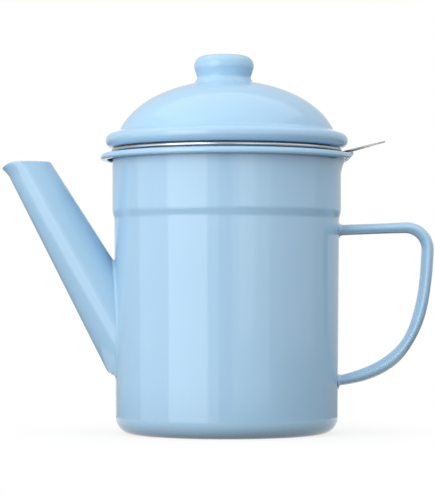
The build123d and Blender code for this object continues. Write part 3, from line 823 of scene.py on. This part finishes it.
class POT_OT_strainer(bpy.types.Operator):
    """Stainless collar with a rolled bead, clamp hoop, wire cloth bowl and lifting tab"""

    bl_idname = "grease_pot.strainer"
    bl_label = "Strainer"

    def execute(self, context):
        s = context.scene.strainer_sizes
        bore = s.collar_r - s.sheet
        low = s.bead_z - s.bead_tall
        collar = bent(
            [
                (bore, s.collar_z),
                (bore, s.bead_z),
                (s.bead_r, s.bead_z),
                (s.bead_r, low),
                (s.bead_r - s.bead_return, low),
            ],
            [s.bead_bend_r] * 3,
            steps=7,
        )
        collar = spun(sheet_outline(collar, s.sheet, steps=5))
        steel = brushed_stainless()
        band = piece("strainer_band", collar, steel, "strainer", ["strainer_collar"], "stainless")
        # notch under the bead for the tab, with play at its sides and headroom above it, from just
        # off the collar to past the bead and the bead's lower edge
        play, headroom, off_collar, past_bead, past_edge = 0.0004, 0.0008, 0.00045, 0.002, 0.0002
        side, floor, roof = s.tab_wide / 2 + play, low - past_edge, low + headroom
        x = np.array([[s.collar_r + off_collar], [s.bead_r + past_bead]])
        cut(band, points(x, np.array([-side, side, side, -side]), [floor, floor, roof, roof]))

        hoop_bore = bore - s.cloth - s.sheet
        hoop = upright_hoop(hoop_bore, s.hoop_z, s.hoop_z + s.hoop_tall, s.sheet)
        piece("strainer_hoop", hoop, steel, "strainer", ["strainer_clamp_ring"], "stainless")
        self.cloth(s, bore)
        self.tab(s, low)
        return {"FINISHED"}

    def cloth(self, s, bore):
        """Plain weave pressed into a bowl. Each wire lies over a straight line in plan, at half
        pitches from the middle, and rides up and down by a sine with one wave for two pitches,
        along the bowl's normal. The two sets mirror each other, so they pass over and under."""
        # a wire this close to the bowl's edge is left out; each end stands up between the collar
        # and the hoop by end_rise; the wire's section is a square on its corner
        edge_gap, end_rise, steps, corners = 0.0003, 0.0025, 172, 4
        a, b = bore - s.cloth / 2, s.collar_z - s.bowl_z - s.cloth / 2
        count = int(a / s.pitch)
        side = (np.arange(-count, count) + 0.5) * s.pitch
        side = side[np.abs(side) < a - edge_gap][:, None]
        along = np.sqrt(a**2 - side**2) * np.sin(np.linspace(-pi / 2, pi / 2, steps))
        z = -b * np.sqrt(np.clip(1 - (along**2 + side**2) / a**2, 0, 1))
        normal = unit(points(along / a**2, side / a**2, z / b**2))
        sign = np.where(np.round(side / s.pitch - 0.5) % 2 == 0, 1.0, -1.0)
        ride = sign * np.sin(pi * along / s.pitch) * s.wire / 2
        middle = points(along, side, z + s.collar_z)
        tubes = []
        for way in (1, -1):
            centre = middle + way * normal * ride[..., None]
            rise = [0, 0, end_rise]
            centre = np.concatenate([centre[:, :1] + rise, centre, centre[:, -1:] + rise], 1)
            tangent = unit(np.gradient(centre, axis=1))
            across = unit(np.cross(tangent, normal[:, [0, *range(steps), -1]]))
            up = np.cross(across, tangent)
            ring = full_turn(corners)[:, None]
            around = up[:, :, None] * np.cos(ring) + across[:, :, None] * np.sin(ring)
            tubes.append(centre[:, :, None] + s.wire / 2 * around)
        # the second set runs the other way in plan
        tubes = np.concatenate([tubes[0], tubes[1][..., [1, 0, 2]]])
        index = np.arange(tubes[..., 0].size).reshape(tubes.shape[:3])
        after = np.roll(index, -1, 2)
        walls = np.stack([index[:, :-1], index[:, 1:], after[:, 1:], after[:, :-1]], -1)
        faces = np.concatenate([walls.reshape(-1, 4), index[:, 0, ::-1], index[:, -1]])
        cloth = solid("strainer_cloth", tubes, faces.tolist())
        finished(cloth, drawn_wire(), "strainer", ["strainer_mesh"])

    def tab(self, s, low):
        """The bent strip's outline, carried across its width: at a place w across, the outer end
        is drawn back to round its corners, by r - sqrt(r^2 - (|w| - half + r)^2). The leg follows
        the collar, so each point lies at its radius from the pot's axis."""
        rise = s.bead_r + s.tab_rise
        top_z = low + s.sheet
        half = s.tab_wide / 2
        # the places across lie closer together near the tab's edges
        places = 41
        w = np.sin(np.linspace(-pi / 2, pi / 2, places)) * half
        short = np.clip(np.abs(w) - half + s.tab_end_r, 0, None)
        drawn = s.tab_end_r - np.sqrt(s.tab_end_r**2 - short**2)
        outlines = []
        for back in drawn:
            end = s.tab_end - back
            path = bent(
                [
                    (s.collar_r, top_z - s.tab_leg),
                    (s.collar_r, top_z),
                    (rise, top_z),
                    (end, top_z + np.tan(s.tab_slope) * (end - rise)),
                ],
                [s.tab_bend_r, s.tab_bend_r * 2],
            )
            outlines.append(sheet_outline(path, s.sheet, steps=5))
        r, z = np.moveaxis(outlines, -1, 0)
        w = w[:, None]
        grid = points(np.sqrt(np.clip(r**2 - w**2, 0, None)), w, z)
        grid = capped(grid, grid[[0, -1]].mean(1, keepdims=True))
        kind = (brushed_stainless(), "strainer", ["strainer_tab"], "stainless")
        piece("strainer_lift_tab", grid, *kind, close=(False, True))


class POT_OT_lid(bpy.types.Operator):
    """Domed lid with a rolled brim, plain skirt and hollow knob"""

    bl_idname = "grease_pot.lid"
    bl_label = "Lid"

    def execute(self, context):
        s = context.scene.lid_sizes
        # dome: r = a sin t, z = centre + b cos t, up to the crease
        centre_z = s.low_z - s.dome_drop
        a, b = s.crease_r + s.fullness, s.dome_z - s.low_z + s.dome_drop
        dome_steps, roll_steps = 48, 40
        t = np.linspace(0, np.arcsin(s.crease_r / a), dome_steps)
        dome = np.stack([a * np.sin(t), centre_z + b * np.cos(t)], 1)
        # brim: a straight run that touches the roll, then the roll and its return
        roll = np.array([s.brim_r - s.roll_r, s.low_z + s.roll_r])
        crease = dome[-1]
        gap = roll - crease
        touch = pi + atan2(gap[1], gap[0]) - np.arccos(s.roll_r / hypot(*gap))
        turn = np.linspace(touch, -pi / 2, roll_steps)[:, None]
        rolled = roll + s.roll_r * np.concatenate([np.cos(turn), np.sin(turn)], 1)
        # the crease is filleted between the brim and a point of the dome seven steps before it,
        # and the dome ends just above the fillet
        dome_foot, clear = dome[-8], 0.0001
        fillet = bent([dome_foot, crease, rolled[0]], [s.crease_fillet])[3:-1]
        dome = dome[dome[:, 1] > fillet[0, 1] + clear]
        end = np.array([[roll[0] - s.roll_return, s.low_z]])
        path = np.vstack([dome, fillet, rolled, end])
        shell, enamel = spun(sheet_outline(path, s.wall)), vitreous_enamel()
        piece("lid_dome", shell, enamel, "lid", ["lid_shell"], close=(True, False))
        # the skirt's top lies inside the dome's sheet, a quarter of it below its outer face
        skirt_top = centre_z + b * np.sqrt(1 - (s.skirt_r / a) ** 2) - s.wall / 4
        skirt = upright_hoop(s.skirt_r - s.skirt_wall, s.skirt_z, skirt_top, s.skirt_wall)
        piece("lid_hoop", skirt, enamel, "lid", ["lid_skirt"])
        # knob: crowned top, rounded edge, tapered side and a neck that flares out onto the dome
        neck_z = s.dome_z + s.neck_rise
        corner_z = s.knob_z - s.knob_crown
        knob = bent(
            [
                (0, s.knob_z),
                (s.knob_flat_r, s.knob_z),
                (s.neck_r + np.tan(s.knob_taper) * (corner_z - neck_z), corner_z),
                (s.neck_r, neck_z),
                (s.neck_r + s.foot_reach, s.dome_z - s.foot_drop),
            ],
            [s.knob_crown_r, s.knob_edge_r, s.neck_bend_r],
            steps=16,
        )
        knob = spun(sheet_outline(knob, s.knob_wall), segments=128) + [s.knob_x, 0, 0]
        piece("lid_grip", knob, enamel, "lid", ["lid_knob"], close=(True, False))
        return {"FINISHED"}


class POT_OT_stage(bpy.types.Operator):
    """Pale floor, soft studio light and the camera"""

    bl_idname = "grease_pot.stage"
    bl_label = "Stage"

    def execute(self, context):
        scene = context.scene
        s = scene.stage_sizes
        scene.view_settings.view_transform = "Standard"

        data = bpy.data.cameras.new("camera")
        camera = bpy.data.objects.new("camera", data)
        scene.collection.objects.link(camera)
        # a frame 36 mm tall, and sight as far as 20 m
        data.sensor_fit = "VERTICAL"
        data.sensor_height = 36
        data.lens = s.lens
        data.clip_end = 20
        place = np.array([0.0, -s.camera_distance, s.camera_z])
        aim = np.array([s.aim_x, 0.0, s.aim_z]) - place
        camera.location = place
        climb = atan2(aim[2], hypot(aim[0], aim[1]))
        camera.rotation_euler = (pi / 2 + climb, 0, -atan2(aim[0], aim[1]))
        scene.camera = camera

        self.floor(scene)
        self.room(scene)
        # softboxes: turns from the camera's side, where left is negative, and heights above the
        # level, both in degrees; the last hangs straight over the pot and isn't narrowed by that
        for name, turns, rises, narrowing in (
            ("key", (-98, -8), (-18, 18), None),
            ("core", (-60, -19), (-16, 18), None),
            ("high", (-60, -19), (18, 40), None),
            ("strip", (5, 44), (-7, 13), None),
            ("spot", (12, 28), (-4, 13), None),
            ("fill", (44, 100), (-4, 40), None),
            ("overhead", (-45, 45), (58, 122), 0.9),
        ):
            self.softbox(scene, name, turns, rises, narrowing)
        return {"FINISHED"}

    def softbox(self, scene, name, turns, rises, narrowing):
        """Flat lamp that fills the given turns and heights, seen from the pot's middle: width
        2 d n tan(half the turn) and height 2 d tan(half the rise), at a distance d, where the
        narrowing n is cos(rise) unless it is given. Its power is the brightness of its face x pi
        x its area."""
        s = scene.stage_sizes
        turn, rise = radians(sum(turns) / 2), radians(sum(rises) / 2)
        half_turn, half_rise = radians(turns[1] - turns[0]) / 2, radians(rises[1] - rises[0]) / 2
        lamp = bpy.data.lights.new(name, "AREA")
        lamp.shape = "RECTANGLE"
        lamp.size = 2 * s.lamp_distance * (narrowing or np.cos(rise)) * np.tan(half_turn)
        lamp.size_y = 2 * s.lamp_distance * np.tan(half_rise)
        lamp.energy = getattr(s, name) * pi * lamp.size * lamp.size_y
        box = bpy.data.objects.new(name, lamp)
        scene.collection.objects.link(box)
        out = np.array([np.sin(turn) * np.cos(rise), -np.cos(turn) * np.cos(rise), np.sin(rise)])
        box.location = out * s.lamp_distance + [0, 0, s.lamp_aim_z]
        box.rotation_euler = (pi / 2 - rise, 0, turn)
        box.visible_camera = False

    def floor(self, scene):
        """Round, matt painted board. Seen straight, mirrored or through glass, it shows mostly
        plain white, and nothing else at its edge, so that it runs into the backdrop and keeps a
        faint shadow round the pot. The light that it throws back up is that of a greyer board."""
        tones, r = scene.finish_colours, scene.stage_sizes.board_r
        # the white's share round the pot, and the part of the radius over which it grows to all
        least_white, fade_start, fade_end = 0.8, 0.3, 0.95
        material, tree = new_material("floor_painted_board")
        if tree is not None:
            seen = self.seen(tree)
            tone = blended(tree, seen, tones.bounce, tones.floor)
            board = add_node(tree, "ShaderNodeBsdfDiffuse", {"Color": tone})
            white = add_node(tree, "ShaderNodeEmission", {"Color": (1, 1, 1, 1), "Strength": 1.0})
            place = add_node(tree, "ShaderNodeTexCoord").outputs["Object"]
            out = add_node(tree, "ShaderNodeVectorMath", {0: place}, operation="LENGTH")
            share = mapped(
                tree,
                out.outputs["Value"],
                before=(r * fade_start, r * fade_end),
                after=(least_white, 1.0),
                interpolation_type="SMOOTHSTEP",
            )
            share = maths(tree, "MULTIPLY", seen, share)
            two_surfaces(tree, "ShaderNodeOutputMaterial", share, board, white)
        mesh = bpy.data.meshes.new("floor")
        turn = full_turn(steps=128)
        edge = points(r * np.cos(turn), r * np.sin(turn), 0)
        mesh.from_pydata(edge.tolist(), [], [list(range(len(turn)))])
        mesh.materials.append(material)
        board = bpy.data.objects.new("floor", mesh)
        scene.collection.objects.link(board)

    def seen(self, tree):
        """1 for rays that show a thing, straight, mirrored or through glass, and 0 for light."""
        rays = add_node(tree, "ShaderNodeLightPath").outputs
        either = maths(tree, "ADD", rays["Is Camera Ray"], rays["Is Glossy Ray"])
        return maths(tree, "ADD", either, rays["Is Transmission Ray"], use_clamp=True)

    def room(self, scene):
        """A soft room, darker below the level, with white paper behind the pot. The camera sees
        white all round."""
        world = scene.world or bpy.data.worlds.new("studio")
        scene.world = world
        world.use_nodes = True
        tree = world.node_tree
        tree.nodes.clear()
        s = scene.stage_sizes
        # a world's generated coordinates are the direction of the ray, of length 1
        direction = add_node(tree, "ShaderNodeTexCoord").outputs["Generated"]
        towards = add_node(tree, "ShaderNodeSeparateXYZ", {"Vector": direction})
        # the room is bright from the level up, and darkest from where a direction's upward part,
        # the sine of its climb, is this low
        all_dark = -0.1
        level = mapped(tree, towards.outputs["Z"], (all_dark, 0.0), (s.room_low, s.room))
        # the paper fills a cone of 11 degrees to each side behind the pot, and fades out to 18: the
        # direction's part towards the back is the cosine of that angle
        no_paper, all_paper = 0.95, 0.98
        paper = mapped(tree, towards.outputs["Y"], (no_paper, all_paper))
        mirrored = maths(tree, "MULTIPLY", self.seen(tree), paper)
        rays = add_node(tree, "ShaderNodeLightPath").outputs
        share = maths(tree, "MAXIMUM", mirrored, rays["Is Camera Ray"])
        soft, white = (
            add_node(tree, "ShaderNodeBackground", {"Color": (1, 1, 1, 1), "Strength": strength})
            for strength in (level, 1.0)
        )
        two_surfaces(tree, "ShaderNodeOutputWorld", share, soft, white)


class POT_PT_panel(bpy.types.Panel):
    """Lists the pot's pieces and their sizes"""

    bl_idname = "POT_PT_panel"
    bl_label = "Grease pot"
    bl_space_type = "VIEW_3D"
    bl_region_type = "UI"
    bl_category = "Grease pot"

    def draw(self, context):
        for operator in OPERATORS:
            self.layout.operator(operator.bl_idname)
        for name, group in GROUPS.items():
            box = self.layout.box()
            box.label(text=group.__name__)
            for size in group.__annotations__:
                box.prop(getattr(context.scene, name), size)


OPERATORS = (POT_OT_can, POT_OT_spout, POT_OT_handle, POT_OT_strainer, POT_OT_lid, POT_OT_stage)
CLASSES = (*GROUPS.values(), *OPERATORS, POT_PT_panel)


def register():
    for item in CLASSES:
        bpy.utils.register_class(item)
    for name, group in GROUPS.items():
        setattr(bpy.types.Scene, name, bpy.props.PointerProperty(type=group))


def unregister():
    for name in GROUPS:
        delattr(bpy.types.Scene, name)
    for item in reversed(CLASSES):
        bpy.utils.unregister_class(item)


def main():
    register()
    bpy.ops.grease_pot.can()
    bpy.ops.grease_pot.spout()
    bpy.ops.grease_pot.handle()
    bpy.ops.grease_pot.strainer()
    bpy.ops.grease_pot.lid()
    bpy.ops.grease_pot.stage()


if __name__ == "__main__":
    main()
